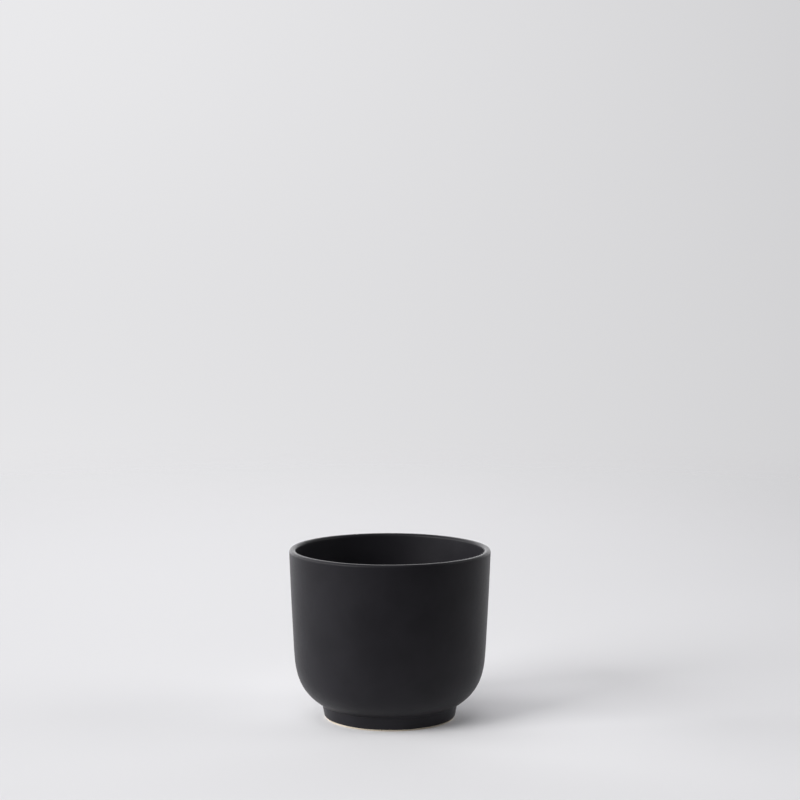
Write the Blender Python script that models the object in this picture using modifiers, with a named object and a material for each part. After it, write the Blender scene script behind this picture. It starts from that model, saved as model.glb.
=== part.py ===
"""Footed ceramic candle jar: a slip-cast tumbler of buff stoneware under a matt black glaze.

Metres, +Z up. The origin is the centre of the circle that the foot stands on, and +Z is the
axis that every piece is turned about.

The jar is one casting with two fired coats. The large coat lines the inside, rolls over the
lip and runs down the outside to just above the foot's standing edge. The small coat lines the
hollow under the foot. The ring that the jar stands on is wiped bare between them.

Each piece is an outline in the (radius, height) plane, turned by a Screw modifier. Outlines
start and end on the axis and run with the ware on their right: out along the floor, up the
inside, over the lip, down the outside, round the foot and back to the axis under it.
"""

import math

import bpy
from mathutils import Vector

# Driving dimensions of the glazed outside
LIP_RADIUS = 0.0500
HEIGHT = 0.0847
SHOULDER_HEIGHT = 0.0317  # where the straight wall starts to turn in towards the foot
SHOULDER_RADIUS = 0.0476
FOOT_TOP_RADIUS = 0.0338
FOOT_TOP_HEIGHT = 0.0068
FOOT_RADIUS = 0.0325  # outside the foot, at the table

# How the outside curves: it leans in more and more on the way down
LIP_LEAN = math.radians(1.9)
SHOULDER_LEAN = math.radians(3.4)
FOOT_TOP_SLOPE = math.radians(32.5)  # of the turned-in part above the foot, from level
SHOULDER_PULL = 0.0125  # Bezier handle lengths of the turned-in part
FOOT_TOP_PULL = 0.0104

# The wall and the inside
LIP_WALL = 0.0032
SHOULDER_WALL = 0.0035
FLOOR_HEIGHT = 0.0086
FLOOR_RADIUS = 0.0220  # of the flat middle of the floor
INSIDE_SHOULDER_PULL = 0.0140
INSIDE_FLOOR_PULL = 0.0120

# Foot ring
RING_INNER_RADIUS = 0.0280  # of the standing face
RING_INNER_LEAN = math.radians(20.0)
WELL_HEIGHT = 0.0040  # of the hollow under the floor
OUTSIDE_GLAZE_LINE = 0.0008  # heights at which the two coats stop above the table
WELL_GLAZE_LINE = 0.0012

# Rounded corners
LIP_OUTER_ROUND = 0.0013
LIP_INNER_ROUND = 0.0015
FOOT_FILLET = 0.0012
STANDING_ROUND = 0.0005
WELL_FILLET = 0.0015

# Coats
GLAZE_THICKNESS = 0.00035
BOND_GAP = 0.00005  # keeps the faceted coats clear of the faceted body

# Fineness
TURNS = 48  # facets round the jar
LONG_CURVE_STEPS = 9
WALL_STEPS = 4
CORNER_STEPS = 4


def leaning(radius, height, lean, rise):
    """The point that is rise above (radius, height) on a line that leans out by lean."""
    return Vector((radius + rise * math.tan(lean), height + rise))


def bezier(start, start_handle, end_handle, end, steps):
    """Points on a cubic Bezier curve, both ends included."""
    points = []
    for step in range(steps + 1):
        t = step / steps
        u = 1 - t
        points.append(
            u**3 * start + 3 * u * u * t * start_handle + 3 * u * t * t * end_handle + t**3 * end
        )
    return points


def rounded_corner(before, corner, after, radius):
    """Points on the arc that replaces the corner on the way from before to after."""
    back = (before - corner).normalized()
    ahead = (after - corner).normalized()
    half_angle = back.angle(ahead) / 2
    tangent_length = radius / math.tan(half_angle)
    centre = corner + (back + ahead).normalized() * (radius / math.sin(half_angle))
    first = corner + back * tangent_length - centre
    last = corner + ahead * tangent_length - centre
    sweep = first.angle(last)
    points = []
    for step in range(CORNER_STEPS + 1):
        share = step / CORNER_STEPS
        arm = first * math.sin((1 - share) * sweep) + last * math.sin(share * sweep)
        points.append(centre + arm / math.sin(sweep))
    return points


def into_ware(points, depth):
    """The outline moved to its right by depth, with mitred corners, so facets stay parallel."""
    rights = []
    for here, there in zip(points, points[1:]):
        ahead = (there - here).normalized()
        rights.append(Vector((ahead.y, -ahead.x)))
    moved = []
    for index, point in enumerate(points):
        before = rights[max(index - 1, 0)]
        after = rights[min(index, len(rights) - 1)]
        mitre = (before + after).normalized()
        moved.append(point + mitre * (depth / mitre.dot(after)))
    return moved


def inside_outline():
    """From the middle of the floor, out and up the inside to the top of the inner wall."""
    floor_edge = Vector((FLOOR_RADIUS, FLOOR_HEIGHT))
    shoulder = Vector((SHOULDER_RADIUS - SHOULDER_WALL, SHOULDER_HEIGHT))
    shoulder_pull = leaning(*shoulder, SHOULDER_LEAN, -INSIDE_SHOULDER_PULL)
    floor_pull = floor_edge + Vector((INSIDE_FLOOR_PULL, 0))
    points = [Vector((0, FLOOR_HEIGHT))]
    points += bezier(floor_edge, floor_pull, shoulder_pull, shoulder, LONG_CURVE_STEPS)

    top = Vector((LIP_RADIUS - LIP_WALL, HEIGHT - LIP_INNER_ROUND))
    third = (top.y - shoulder.y) / 3
    low_handle = leaning(*shoulder, SHOULDER_LEAN, third)
    high_handle = leaning(*top, LIP_LEAN, -third)
    points += bezier(shoulder, low_handle, high_handle, top, WALL_STEPS)[1:]
    return points


def lip_outline(inner_top, outer_top):
    """Over the lip, from the inner wall to the outer wall."""
    inner_corner = leaning(*inner_top, LIP_LEAN, HEIGHT - inner_top.y)
    outer_corner = leaning(*outer_top, LIP_LEAN, HEIGHT - outer_top.y)
    points = rounded_corner(inner_top, inner_corner, outer_corner, LIP_INNER_ROUND)
    points += rounded_corner(inner_corner, outer_corner, outer_top, LIP_OUTER_ROUND)
    return points


def outside_outline(outer_top):
    """Down the outside, from under the lip to where the coat stops on the foot."""
    shoulder = Vector((SHOULDER_RADIUS, SHOULDER_HEIGHT))
    third = (outer_top.y - shoulder.y) / 3
    high_handle = leaning(*outer_top, LIP_LEAN, -third)
    low_handle = leaning(*shoulder, SHOULDER_LEAN, third)
    wall = bezier(outer_top, high_handle, low_handle, shoulder, WALL_STEPS)

    foot_top = Vector((FOOT_TOP_RADIUS, FOOT_TOP_HEIGHT))
    glaze_line = foot_side(OUTSIDE_GLAZE_LINE)
    up_slope = Vector((math.cos(FOOT_TOP_SLOPE), math.sin(FOOT_TOP_SLOPE)))
    fillet = rounded_corner(foot_top + up_slope, foot_top, glaze_line, FOOT_FILLET)
    turned_in = bezier(
        shoulder,
        leaning(*shoulder, SHOULDER_LEAN, -SHOULDER_PULL),
        fillet[0] + up_slope * FOOT_TOP_PULL,
        fillet[0],
        LONG_CURVE_STEPS,
    )
    return wall + turned_in[1:] + fillet[1:] + [glaze_line]


def foot_side(height):
    """The point at this height on the straight side of the foot."""
    share = height / FOOT_TOP_HEIGHT
    return Vector((FOOT_RADIUS + (FOOT_TOP_RADIUS - FOOT_RADIUS) * share, height))


def cup_outline():
    """The glazed surface of the cup, from the middle of the floor to the foot's glaze line."""
    inside = inside_outline()
    inner_top = inside[-1]
    outer_top = Vector((LIP_RADIUS, HEIGHT - LIP_OUTER_ROUND))
    lip = lip_outline(inner_top, outer_top)
    outside = outside_outline(lip[-1])
    return inside[:-1] + lip + outside[1:]


def well_outline():
    """The glazed surface of the hollow under the foot, from its glaze line to the axis."""
    ring_foot = leaning(RING_INNER_RADIUS, 0, -RING_INNER_LEAN, WELL_GLAZE_LINE)
    corner = leaning(RING_INNER_RADIUS, 0, -RING_INNER_LEAN, WELL_HEIGHT)
    centre = Vector((0, WELL_HEIGHT))
    return [ring_foot] + rounded_corner(ring_foot, corner, centre, WELL_FILLET) + [centre]


def body_outline(cup, well):
    """The clay, under both coats and bare between them on the ring that it stands on."""
    coat_depth = GLAZE_THICKNESS + BOND_GAP
    under_coat = into_ware(cup, coat_depth)
    under_well = into_ware(well, coat_depth)
    outer = Vector((foot_side(0).x - coat_depth, 0))
    inner = Vector((RING_INNER_RADIUS + coat_depth, 0))
    standing = rounded_corner(under_coat[-1], outer, inner, STANDING_ROUND)
    standing += rounded_corner(outer, inner, under_well[0], STANDING_ROUND)
    return under_coat + standing + under_well


def back_of_coat(surface):
    """The way back along the clay side of a coat of even thickness."""
    return into_ware(surface, GLAZE_THICKNESS)[::-1]


def fired_material(name, colour, roughness):
    """A plain Principled material."""
    material = bpy.data.materials.new(name)
    material.use_nodes = True
    shader = material.node_tree.nodes["Principled BSDF"]
    shader.inputs["Base Color"].default_value = (*colour, 1)
    shader.inputs["Roughness"].default_value = roughness
    shader.inputs["Metallic"].default_value = 0
    return material


def turned(name, outline, material, collection):
    """A solid of revolution about +Z from an outline that starts and ends on the axis."""
    mesh = bpy.data.meshes.new(name)
    corners = [(point.x, 0, point.y) for point in outline]
    edges = [(index, index + 1) for index in range(len(corners) - 1)]
    mesh.from_pydata(corners, edges, [])
    mesh.materials.append(material)
    piece = bpy.data.objects.new(name, mesh)
    collection.objects.link(piece)

    screw = piece.modifiers.new("turn", "SCREW")
    screw.axis = "Z"
    screw.steps = TURNS
    screw.render_steps = TURNS
    screw.use_merge_vertices = True
    screw.merge_threshold = 0.00001
    screw.use_smooth_shade = True
    return piece


def main():
    for leftover in list(bpy.data.objects):
        bpy.data.objects.remove(leftover)
    jar = bpy.data.collections.new("candle_jar")
    bpy.context.scene.collection.children.link(jar)

    clay = fired_material("buff_stoneware", (0.62, 0.52, 0.38), 0.85)
    black = fired_material("matt_black_glaze", (0.014, 0.014, 0.015), 0.45)

    cup = cup_outline()
    well = well_outline()
    turned("stoneware_body", body_outline(cup, well), clay, jar)
    turned("black_glaze_coat", cup + back_of_coat(cup), black, jar)
    turned("underside_glaze", back_of_coat(well) + well, black, jar)


main()
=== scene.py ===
"""Looks of the candle jar: three finely turned pieces in fired materials, in a small white studio.

Metres, +Z up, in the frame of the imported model: the jar stands on z = 0 and is turned about
the Z axis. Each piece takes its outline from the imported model's node that it stands for, drawn
smooth. A jar that a person has made isn't quite round, so one gentle field bends every piece,
and the edges of the glaze wander a little where it was wiped off the foot.
"""

import math

import bpy
import numpy as np
from mathutils import Matrix, Vector


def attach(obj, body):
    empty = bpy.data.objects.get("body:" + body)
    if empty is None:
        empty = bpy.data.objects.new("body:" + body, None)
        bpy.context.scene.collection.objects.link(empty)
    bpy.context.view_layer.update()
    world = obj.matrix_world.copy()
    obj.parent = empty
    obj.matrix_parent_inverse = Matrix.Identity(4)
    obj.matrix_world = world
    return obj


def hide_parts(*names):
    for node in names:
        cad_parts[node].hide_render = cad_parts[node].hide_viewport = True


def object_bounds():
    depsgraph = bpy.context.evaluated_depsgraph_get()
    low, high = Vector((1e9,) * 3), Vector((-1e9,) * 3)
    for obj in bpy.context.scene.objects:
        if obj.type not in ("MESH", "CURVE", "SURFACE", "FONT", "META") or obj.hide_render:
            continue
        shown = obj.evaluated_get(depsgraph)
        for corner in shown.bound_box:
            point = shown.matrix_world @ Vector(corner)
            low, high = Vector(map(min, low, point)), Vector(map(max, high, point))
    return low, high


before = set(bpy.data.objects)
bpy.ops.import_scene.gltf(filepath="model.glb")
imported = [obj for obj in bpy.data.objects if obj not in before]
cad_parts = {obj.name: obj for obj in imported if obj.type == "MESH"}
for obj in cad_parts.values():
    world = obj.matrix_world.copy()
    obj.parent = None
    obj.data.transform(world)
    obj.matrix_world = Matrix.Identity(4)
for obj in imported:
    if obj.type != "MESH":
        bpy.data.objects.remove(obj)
cad_low, cad_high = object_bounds()

HAIR = 1e-6  # lengths below this are nothing

# Fineness of the turned pieces
SEGMENTS = 256
LONGEST_STEP = 0.0014  # along an outline
WIDEST_TURN = math.radians(5)  # of an outline, from one point to the next
STRAIGHT_RATIO = 4  # a stretch this many times longer than its neighbour is a straight one

# The edge of a coat
COAT_EDGE = 0.00045  # how far back from its edge a coat starts to thin
COAT_EDGE_STEPS = 8
LINE_WANDER = 0.00010  # how far the edge strays up or down
LINE_WAVES = ((2, 0.5), (5, 0.35), (9, 0.3), (17, 0.2), (31, 0.12))  # round the foot, and shares
LINE_REACH = 0.0016  # how far up the coat that is felt

# How far the jar is from truly round and level, and with what waves round it: their number,
# share and phase
OUT_OF_ROUND = 0.00007
ROUND_WAVES = ((2, 1.0, 0.7), (3, 0.4, 2.1))
LIP_WAVE = 0.00005
LIP_WAVES = ((2, 1.0, 1.9), (5, 0.6, 0.0))

# The camera, from the middle of the foot
CAMERA_PLACE = Vector((0.00485, -1.0477, 0.2578))
CAMERA_TILT = math.radians(5.399)  # below level
CAMERA_ROLL = math.radians(0.0985)  # about its own line of sight
CAMERA_SENSOR = 36  # wide, in millimetres
CAMERA_LENS = 95.89  # in millimetres
CAMERA_REACH = 20  # how far it sees

# The floor: a disc that fades out into the backdrop
FLOOR_RADIUS = 1.6
FADE_START = 0.55
FADE_END = 1.25
REFLECTED_FRONT = -0.30  # nearer the camera than this, the floor throws no light back at the jar
REFLECTED_FULLY = -0.06

# The floor's tone, and the painted light in it: the uneven light on the floor is painted into its
# colour as changes with the distance x to the right and y back
FLOOR_TONE = 0.720
PAINTED_LIGHT_RIGHT = 0.059  # times x
PAINTED_LIGHT_BACK = 0.19  # times y, down to TONE_FRONT
PAINTED_LIGHT_SIDES = -0.842  # times x squared
PAINTED_LIGHT_TWIST = -0.336  # times x and y
TONE_REACH = 0.4  # the changes with x go no further out than this
TONE_FRONT = -0.2  # and the one with y goes no nearer than this

# A soft patch of painted light round the jar: the floor's colour is painted paler there, which makes
# its shadow paler
PAINTED_LIGHT_POOL_PLACE = (0.05, 0, 0)
PAINTED_LIGHT_POOL_SPREAD = 0.10
PAINTED_LIGHT_POOL_STRENGTH = 0.30  # times the floor's tone

# Pale paper, slightly cool
PAPER_TINT = (0.996, 0.993, 1.012)

# The backdrop's tones across the picture: painted light, lighter to the left where more light falls
# on it
BACKDROP_LEFT = 0.822
BACKDROP_RIGHT = 0.655
BACKDROP_CURVE = 1.3  # more than 1, for a tone that falls slowly at first
BACKDROP_PAINTED_DIP = 0.045  # painted shade: how much darker its left side is a little above half-way up
DIP_HEIGHT = 0.6  # of the darkest line, as a share of the picture
DIP_REACH = 0.4  # how far up and down from it the dip goes

# Lights: azimuth from straight behind the jar, positive to the right, and elevation, in degrees,
# then each softbox's side in metres and its power in watts
SOFTBOX_DISTANCE = 3.0
SOFTBOXES = (
    ("side_window", -85, 20, 1.6, 44.2),
    ("key_window", -125, 25, 1.6, 74.5),
    ("top_softbox", -160, 60, 2.0, 19.4),
    ("fill_softbox", 90, 25, 1.6, 19.4),
)
# and how narrow each glow of the room is, and how bright
GLOWS = (
    (-30, 5, 5, 2.86),
    (20, 5, 5, 1.83),
)


def outline_of(node):
    """The node's outline at +X as rows of (radius, height), from the upper axis point round.

    The node's flat discs have no point on the axis, so both ends of the line are drawn out to it.
    """
    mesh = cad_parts[node].data
    places = {}
    for vertex in mesh.vertices:
        if abs(vertex.co.y) < HAIR and vertex.co.x > -HAIR:
            places[vertex.index] = (round(vertex.co.x, 6), round(vertex.co.z, 6))
    neighbours = {}
    for edge in mesh.edges:
        first, second = (places.get(index) for index in edge.vertices)
        if first is not None and second is not None and first != second:
            neighbours.setdefault(first, set()).add(second)
            neighbours.setdefault(second, set()).add(first)
    ends = [place for place, others in neighbours.items() if len(others) == 1]
    ahead = [max(ends, key=lambda place: place[1])]
    walked = []
    while ahead:
        walked.append(ahead[0])
        ahead = [place for place in neighbours[walked[-1]] if place not in walked]
    return np.array([(0.0, walked[0][1]), *walked, (0.0, walked[-1][1])])


def directions(points):
    """The direction of a smooth line through the points at each of them."""
    steps = np.diff(points, axis=0)
    lengths = np.linalg.norm(steps, axis=1)
    ways = steps / lengths[:, None]
    found = [ways[0]]
    for before, after, back, ahead in zip(ways, ways[1:], lengths, lengths[1:]):
        if back > STRAIGHT_RATIO * ahead:
            way = before
        elif ahead > STRAIGHT_RATIO * back:
            way = after
        else:
            way = before * ahead + after * back
        found.append(way / np.linalg.norm(way))
    found.append(ways[-1])
    return np.array(found)


def smoothed(points):
    """The outline as a smooth curve through its points, in fine steps."""
    ways = directions(points)
    fine = [points[0]]
    for start, end, leave, arrive in zip(points, points[1:], ways, ways[1:]):
        length = np.linalg.norm(end - start)
        turn = math.acos(min(1.0, float(leave @ arrive)))
        count = math.ceil(max(length / LONGEST_STEP, turn / WIDEST_TURN, 1))
        for t in np.arange(1, count + 1) / count:
            u = 1 - t
            fine.append(
                u * u * (1 + 2 * t) * start
                + t * t * (1 + 2 * u) * end
                + length * u * t * (u * leave - t * arrive)
            )
    return np.array(fine)


def moved_in(points, depth):
    """The outline moved by depth into the ware, which is on its right."""
    ways = np.gradient(points, axis=0)
    ways /= np.linalg.norm(ways, axis=1)[:, None]
    return points + depth * np.stack([ways[:, 1], -ways[:, 0]], axis=1)


def coat_outline(surface, thickness):
    """A coat under its glazed surface, thinning to nothing at the surface's last point."""
    surface = smoothed(surface)
    along = surface[-1] - surface[-2]
    along /= np.linalg.norm(along)
    inward = np.array([along[1], -along[0]])
    start = surface[-1] - COAT_EDGE * along
    full = surface[(surface - start) @ along < -HAIR]
    edge = []
    for angle in np.linspace(0, math.pi / 2, COAT_EDGE_STEPS + 1):
        edge.append(
            start + COAT_EDGE * math.sin(angle) * along + thickness * (1 - math.cos(angle)) * inward
        )
    back = moved_in(surface, thickness)
    back = back[(back - start) @ along < COAT_EDGE - HAIR]
    return np.concatenate([full, edge, back[::-1]])


def turned(name, outline, collection):
    """A mesh object with the outline turned about the Z axis."""
    angles = np.arange(SEGMENTS) * 2 * math.pi / SEGMENTS
    places, rings = [], []
    for radius, height in outline:
        around = angles[:1] if radius < HAIR else angles
        first = sum(len(ring) for ring in places)
        ring = np.stack(
            [radius * np.cos(around), radius * np.sin(around), np.full(len(around), height)], axis=1
        )
        places.append(ring)
        rings.append(first + np.arange(len(around)))
    faces = []
    for near, far in zip(rings, rings[1:]):
        for index in range(SEGMENTS):
            after = (index + 1) % SEGMENTS
            corners = [
                near[index % len(near)],
                far[index % len(far)],
                far[after % len(far)],
                near[after % len(near)],
            ]
            faces.append([int(corner) for corner in dict.fromkeys(corners)])
    mesh = bpy.data.meshes.new(name)
    mesh.from_pydata(np.concatenate(places).tolist(), [], faces)
    mesh.shade_smooth()
    piece = bpy.data.objects.new(name, mesh)
    collection.objects.link(piece)
    return piece


def coordinates(piece):
    """The places of the piece's vertices as an array."""
    places = np.empty(len(piece.data.vertices) * 3)
    piece.data.vertices.foreach_get("co", places)
    return places.reshape(-1, 3)


def put_back(piece, places):
    """Moves the piece's vertices to these places."""
    piece.data.vertices.foreach_set("co", places.ravel())
    piece.data.update()


def field(around, waves):
    """The sum of the waves at these angles round the jar."""
    return sum(share * np.cos(number * around + phase) for number, share, phase in waves)


def settle(piece):
    """Bends the piece by the small field that takes the jar out of true, most of all at the lip."""
    places = coordinates(piece)
    around = np.arctan2(places[:, 1], places[:, 0])
    up = places[:, 2] / cad_high.z
    places[:, :2] *= (1 + OUT_OF_ROUND / cad_high.x * field(around, ROUND_WAVES) * up**2)[:, None]
    places[:, 2] += LIP_WAVE * field(around, LIP_WAVES) * up**6
    put_back(piece, places)


def wander(piece, line, phase):
    """Lets the coat's edge, which is at the height of the line, stray up and down round the foot."""
    places = coordinates(piece)
    around = np.arctan2(places[:, 1], places[:, 0])
    near = np.clip(1 - (places[:, 2] - line) / LINE_REACH, 0, 1)
    stray = sum(share * np.sin(number * (around + phase)) for number, share in LINE_WAVES)
    places[:, 2] += LINE_WANDER * stray * near**2
    put_back(piece, places)


class Nodes:
    """A node tree, and short ways to add nodes to it. Inputs are values or links."""

    def __init__(self, tree):
        self.tree = tree

    def give(self, socket, value):
        """Sets a socket, or links it."""
        if isinstance(value, bpy.types.NodeSocket):
            self.tree.links.new(value, socket)
        else:
            socket.default_value = value

    def add(self, kind, settings=(), **inputs):
        """A new node. Settings are (property, value) pairs."""
        node = self.tree.nodes.new(kind)
        for key, value in settings:
            setattr(node, key, value)
        for key, value in inputs.items():
            self.give(node.inputs[key.replace("_", " ")], value)
        return node

    def sum(self, operation, *values):
        """The result of a Math node."""
        node = self.add("ShaderNodeMath", [("operation", operation)])
        for socket, value in zip(node.inputs, values):
            self.give(socket, value)
        return node.outputs["Value"]

    def noise(self, places, size, detail=3.0, roughness=0.5):
        """Noise with features of about this size in metres."""
        node = self.add(
            "ShaderNodeTexNoise", Vector=places, Scale=1 / size, Detail=detail, Roughness=roughness
        )
        return node.outputs["Fac"]

    def spread(self, value, low, high, to_low=0.0, to_high=1.0, curve="LINEAR"):
        """The value, with the stretch from low to high spread over to_low to to_high."""
        node = self.add(
            "ShaderNodeMapRange",
            [("interpolation_type", curve)],
            Value=value,
            From_Min=low,
            From_Max=high,
            To_Min=to_low,
            To_Max=to_high,
        )
        return node.outputs["Result"]

    def blend(self, share, first, second):
        """A colour between the first and the second, which are both (red, green, blue)."""
        node = self.add("ShaderNodeMixRGB", Fac=share)
        for name, value in (("Color1", first), ("Color2", second)):
            self.give(node.inputs[name], (*value, 1) if isinstance(value, tuple) else value)
        return node.outputs["Color"]

    def bump(self, height, distance, below=None):
        """A normal from a height between 0 and 1 that stands for this distance in metres."""
        node = self.add("ShaderNodeBump", Height=height, Distance=distance, Strength=1.0)
        if below is not None:
            self.give(node.inputs["Normal"], below)
        return node.outputs["Normal"]


class Surface(Nodes):
    """A material's nodes, with its Principled shader."""

    def __init__(self, name):
        self.material = bpy.data.materials.new(name)
        self.material.use_nodes = True
        super().__init__(self.material.node_tree)
        self.shader = self.tree.nodes["Principled BSDF"]
        self.places = self.add("ShaderNodeTexCoord").outputs["Object"]

    def feed(self, name, value):
        """Sets or links one of the shader's inputs."""
        self.give(self.shader.inputs[name], value)


def matt_black_glaze():
    """Satin to matt black glaze, very slightly violet, with a fine tooth."""
    glaze = Surface("matt_black_glaze")
    broad = glaze.noise(glaze.places, 0.018, detail=2)
    fine = glaze.noise(glaze.places, 0.0009, detail=4, roughness=0.6)
    patches = glaze.spread(broad, 0.35, 0.65)
    colour = glaze.blend(patches, (0.0156, 0.0149, 0.0178), (0.0188, 0.0180, 0.0214))
    glaze.feed("Base Color", colour)
    glaze.feed("Roughness", glaze.spread(fine, 0.3, 0.7, 0.36, 0.44))
    glaze.feed("Specular IOR Level", 0.12)
    ripple = glaze.bump(glaze.noise(glaze.places, 0.0035, detail=1), 0.00004)
    glaze.feed("Normal", glaze.bump(fine, 0.000012, ripple))
    return glaze.material


def buff_stoneware():
    """Bare fired clay: fine-grained, with darker and lighter specks."""
    clay = Surface("buff_stoneware")
    broad = clay.noise(clay.places, 0.009)
    grain = clay.noise(clay.places, 0.0005, detail=4, roughness=0.7)
    patches = clay.spread(broad, 0.3, 0.7)
    colour = clay.blend(patches, (0.54, 0.47, 0.37), (0.64, 0.57, 0.47))
    specks = clay.spread(clay.noise(clay.places, 0.0007, detail=1), 0.66, 0.72)
    clay.feed("Base Color", clay.blend(specks, colour, (0.25, 0.17, 0.10)))
    clay.feed("Roughness", clay.spread(grain, 0.3, 0.7, 0.78, 0.95))
    clay.feed("Specular IOR Level", 0.3)
    clay.feed("Normal", clay.bump(grain, 0.00005))
    return clay.material


def finish_piece(piece, material, node):
    """Gives the piece its material and its place in the frame, instead of its node."""
    piece.data.materials.append(material)
    settle(piece)
    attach(piece, "root")
    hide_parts(node)


def build_jar():
    """The three pieces of the jar."""
    jar = bpy.data.collections.new("candle_jar")
    bpy.context.scene.collection.children.link(jar)
    black = matt_black_glaze()
    clay = buff_stoneware()

    body = turned("clay_body", smoothed(outline_of("stoneware_body")), jar)
    finish_piece(body, clay, "stoneware_body")

    cup = outline_of("black_glaze_coat")
    thickness = cup[0][1] - cup[-1][1]
    surface = cup[: len(cup) // 2]
    coat = turned("glaze_over_cup", coat_outline(surface, thickness), jar)
    wander(coat, surface[-1][1], phase=0.4)
    finish_piece(coat, black, "black_glaze_coat")

    well = outline_of("underside_glaze")
    surface = well[len(well) // 2 :][::-1]
    coat = turned("glaze_under_foot", coat_outline(surface, -thickness)[::-1], jar)
    wander(coat, surface[-1][1], phase=1.3)
    finish_piece(coat, black, "underside_glaze")


def floor_tone_and_painted_light(paper, place, axes):
    """The floor's tone with painted light: smooth changes across it, and a patch of painted light
    round the jar that makes its shadow paler.
    """
    # Painted light: the uneven light on the floor is painted into its tone as these smooth changes.
    right, near = (
        paper.spread(axes.outputs[axis], -TONE_REACH, TONE_REACH, -TONE_REACH, TONE_REACH)
        for axis in ("X", "Y")
    )
    back = paper.sum("MAXIMUM", axes.outputs["Y"], TONE_FRONT)
    changes = (
        (PAINTED_LIGHT_RIGHT, right, 1),
        (PAINTED_LIGHT_BACK, back, 1),
        (PAINTED_LIGHT_SIDES, right, right),
        (PAINTED_LIGHT_TWIST, right, near),
    )
    tone = FLOOR_TONE
    for share, *sides in changes:
        change = paper.sum("MULTIPLY", paper.sum("MULTIPLY", *sides), FLOOR_TONE * share)
        tone = paper.sum("ADD", tone, change)
    # Painted light: a patch round the jar is painted paler, so that the jar's shadow is paler.
    away = paper.add("ShaderNodeVectorMath", [("operation", "DISTANCE")])
    paper.give(away.inputs[0], place)
    paper.give(away.inputs[1], PAINTED_LIGHT_POOL_PLACE)
    steepness = paper.sum("POWER", paper.sum("DIVIDE", away.outputs["Value"], PAINTED_LIGHT_POOL_SPREAD), 2)
    painted_light_pool = paper.sum("EXPONENT", paper.sum("MULTIPLY", steepness, -1))
    return paper.sum("ADD", tone, paper.sum("MULTIPLY", painted_light_pool, FLOOR_TONE * PAINTED_LIGHT_POOL_STRENGTH))


def floor_presence(paper, place, axes):
    """How much of the floor is there: it fades into the backdrop towards its edge.

    Rays that don't come from the camera also pass through it close to the camera.
    """
    distance = paper.add("ShaderNodeVectorMath", [("operation", "LENGTH")])
    paper.give(distance.inputs[0], place)
    fade = paper.spread(distance.outputs["Value"], FADE_START, FADE_END, 1, 0, "SMOOTHSTEP")
    reflected = paper.spread(axes.outputs["Y"], REFLECTED_FRONT, REFLECTED_FULLY)
    camera_ray = paper.add("ShaderNodeLightPath").outputs["Is Camera Ray"]
    return paper.sum("MULTIPLY", fade, paper.sum("MAXIMUM", camera_ray, reflected))


def white_table():
    """Matt pale paper."""
    paper = Surface("white_table")
    place = paper.add("ShaderNodeNewGeometry").outputs["Position"]
    axes = paper.add("ShaderNodeSeparateXYZ", Vector=place)
    colour = paper.add(
        "ShaderNodeVectorMath",
        [("operation", "SCALE")],
        Vector=PAPER_TINT,
        Scale=floor_tone_and_painted_light(paper, place, axes),
    )
    paper.feed("Base Color", colour.outputs["Vector"])
    paper.feed("Roughness", 0.9)
    paper.feed("Specular IOR Level", 0)
    paper.feed("Alpha", floor_presence(paper, place, axes))
    return paper.material


def build_floor():
    """A plain pale floor under the jar."""
    collection = bpy.data.collections.new("studio")
    bpy.context.scene.collection.children.link(collection)
    floor = turned("floor", np.array([(0.0, 0.0), (FLOOR_RADIUS, 0.0)]), collection)
    floor.data.materials.append(white_table())


def towards(azimuth, elevation):
    """The direction at these angles in degrees, from the jar."""
    around, up = math.radians(azimuth), math.radians(elevation)
    return Vector((math.sin(around) * math.cos(up), math.cos(around) * math.cos(up), math.sin(up)))


def softbox(name, azimuth, elevation, size, power):
    """A soft square light that shines at the jar."""
    data = bpy.data.lights.new(name, "AREA")
    data.shape = "SQUARE"
    data.size = size
    data.energy = power
    light = bpy.data.objects.new(name, data)
    bpy.context.scene.collection.objects.link(light)
    way = towards(azimuth, elevation)
    light.location = Vector((0, 0, cad_high.z / 2)) + SOFTBOX_DISTANCE * way
    light.rotation_euler = (-way).to_track_quat("-Z", "Y").to_euler()
    light.visible_camera = False


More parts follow.
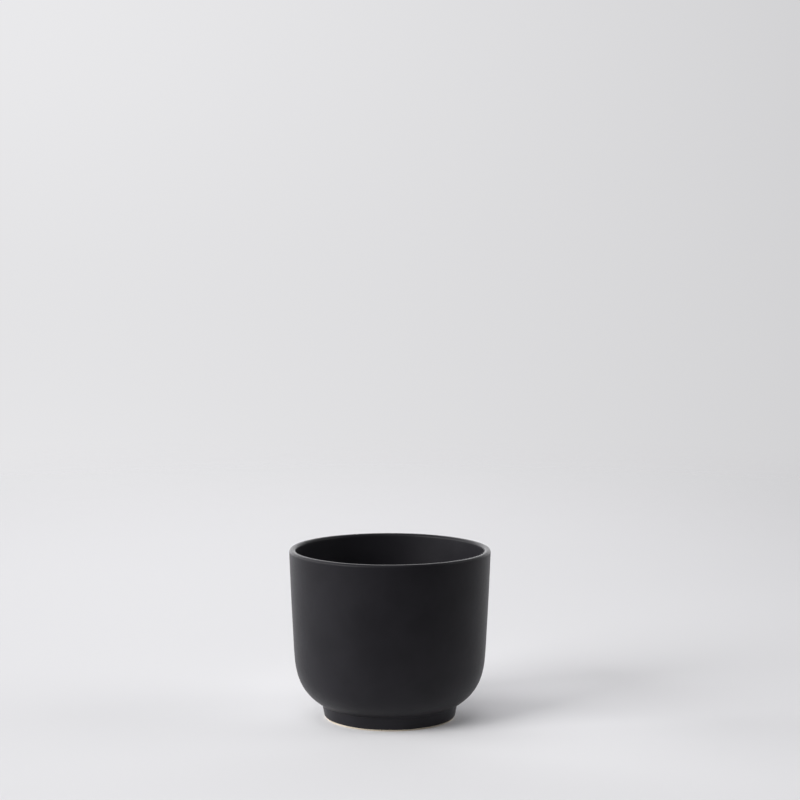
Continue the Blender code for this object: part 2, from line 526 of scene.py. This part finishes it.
def painted_backdrop_light(sky, window):
    """The backdrop's tone across the picture, painted light: lighter to the left, with a band of
    painted shade above half-way.
    """
    across = sky.add("ShaderNodeSeparateXYZ", Vector=window)
    share = sky.sum("POWER", across.outputs["X"], BACKDROP_CURVE)
    tone = sky.spread(share, 0, 1, BACKDROP_LEFT, BACKDROP_RIGHT)
    height = sky.sum("PINGPONG", across.outputs["Y"], DIP_HEIGHT)
    dip = sky.spread(height, DIP_HEIGHT - DIP_REACH, DIP_HEIGHT, 0, BACKDROP_PAINTED_DIP, "SMOOTHSTEP")
    left = sky.sum("SUBTRACT", 1, across.outputs["X"])
    return sky.sum("SUBTRACT", tone, sky.sum("MULTIPLY", dip, left))


def room_glow(sky, way):
    """The glow of the room in each direction, as the sum of broad lobes."""
    glow = 0
    for azimuth, elevation, narrowness, strength in GLOWS:
        facing = sky.add("ShaderNodeVectorMath", [("operation", "DOT_PRODUCT")], Vector=way)
        facing.inputs[1].default_value = towards(azimuth, elevation)
        depth = sky.sum("MULTIPLY", sky.sum("SUBTRACT", facing.outputs["Value"], 1), narrowness)
        glow = sky.sum("ADD", glow, sky.sum("MULTIPLY", sky.sum("EXPONENT", depth), strength))
    return glow


def light_room():
    """The backdrop that the camera sees, and the glow of the room that lights the jar."""
    world = bpy.data.worlds.new("room")
    bpy.context.scene.world = world
    world.use_nodes = True
    sky = Nodes(world.node_tree)
    coordinates_of_ray = sky.add("ShaderNodeTexCoord").outputs
    camera_ray = sky.add("ShaderNodeLightPath").outputs["Is Camera Ray"]
    strength = sky.add("ShaderNodeMix", Factor=camera_ray)
    sky.give(strength.inputs["A"], room_glow(sky, coordinates_of_ray["Generated"]))
    sky.give(strength.inputs["B"], painted_backdrop_light(sky, coordinates_of_ray["Window"]))
    background = sky.tree.nodes["Background"]
    background.inputs["Color"].default_value = (*PAPER_TINT, 1)
    sky.give(background.inputs["Strength"], strength.outputs["Result"])


def place_camera():
    """The camera, above and in front of the jar."""
    data = bpy.data.cameras.new("camera")
    data.lens = CAMERA_LENS
    data.sensor_width = CAMERA_SENSOR
    data.clip_end = CAMERA_REACH
    camera = bpy.data.objects.new("camera", data)
    bpy.context.scene.collection.objects.link(camera)
    camera.location = CAMERA_PLACE
    level = Matrix.Rotation(math.pi / 2 - CAMERA_TILT, 3, "X")
    camera.rotation_euler = (level @ Matrix.Rotation(CAMERA_ROLL, 3, "Z")).to_euler()
    bpy.context.scene.camera = camera


build_jar()
build_floor()
for box in SOFTBOXES:
    softbox(*box)
light_room()
place_camera()
bpy.context.scene.view_settings.view_transform = "Standard"
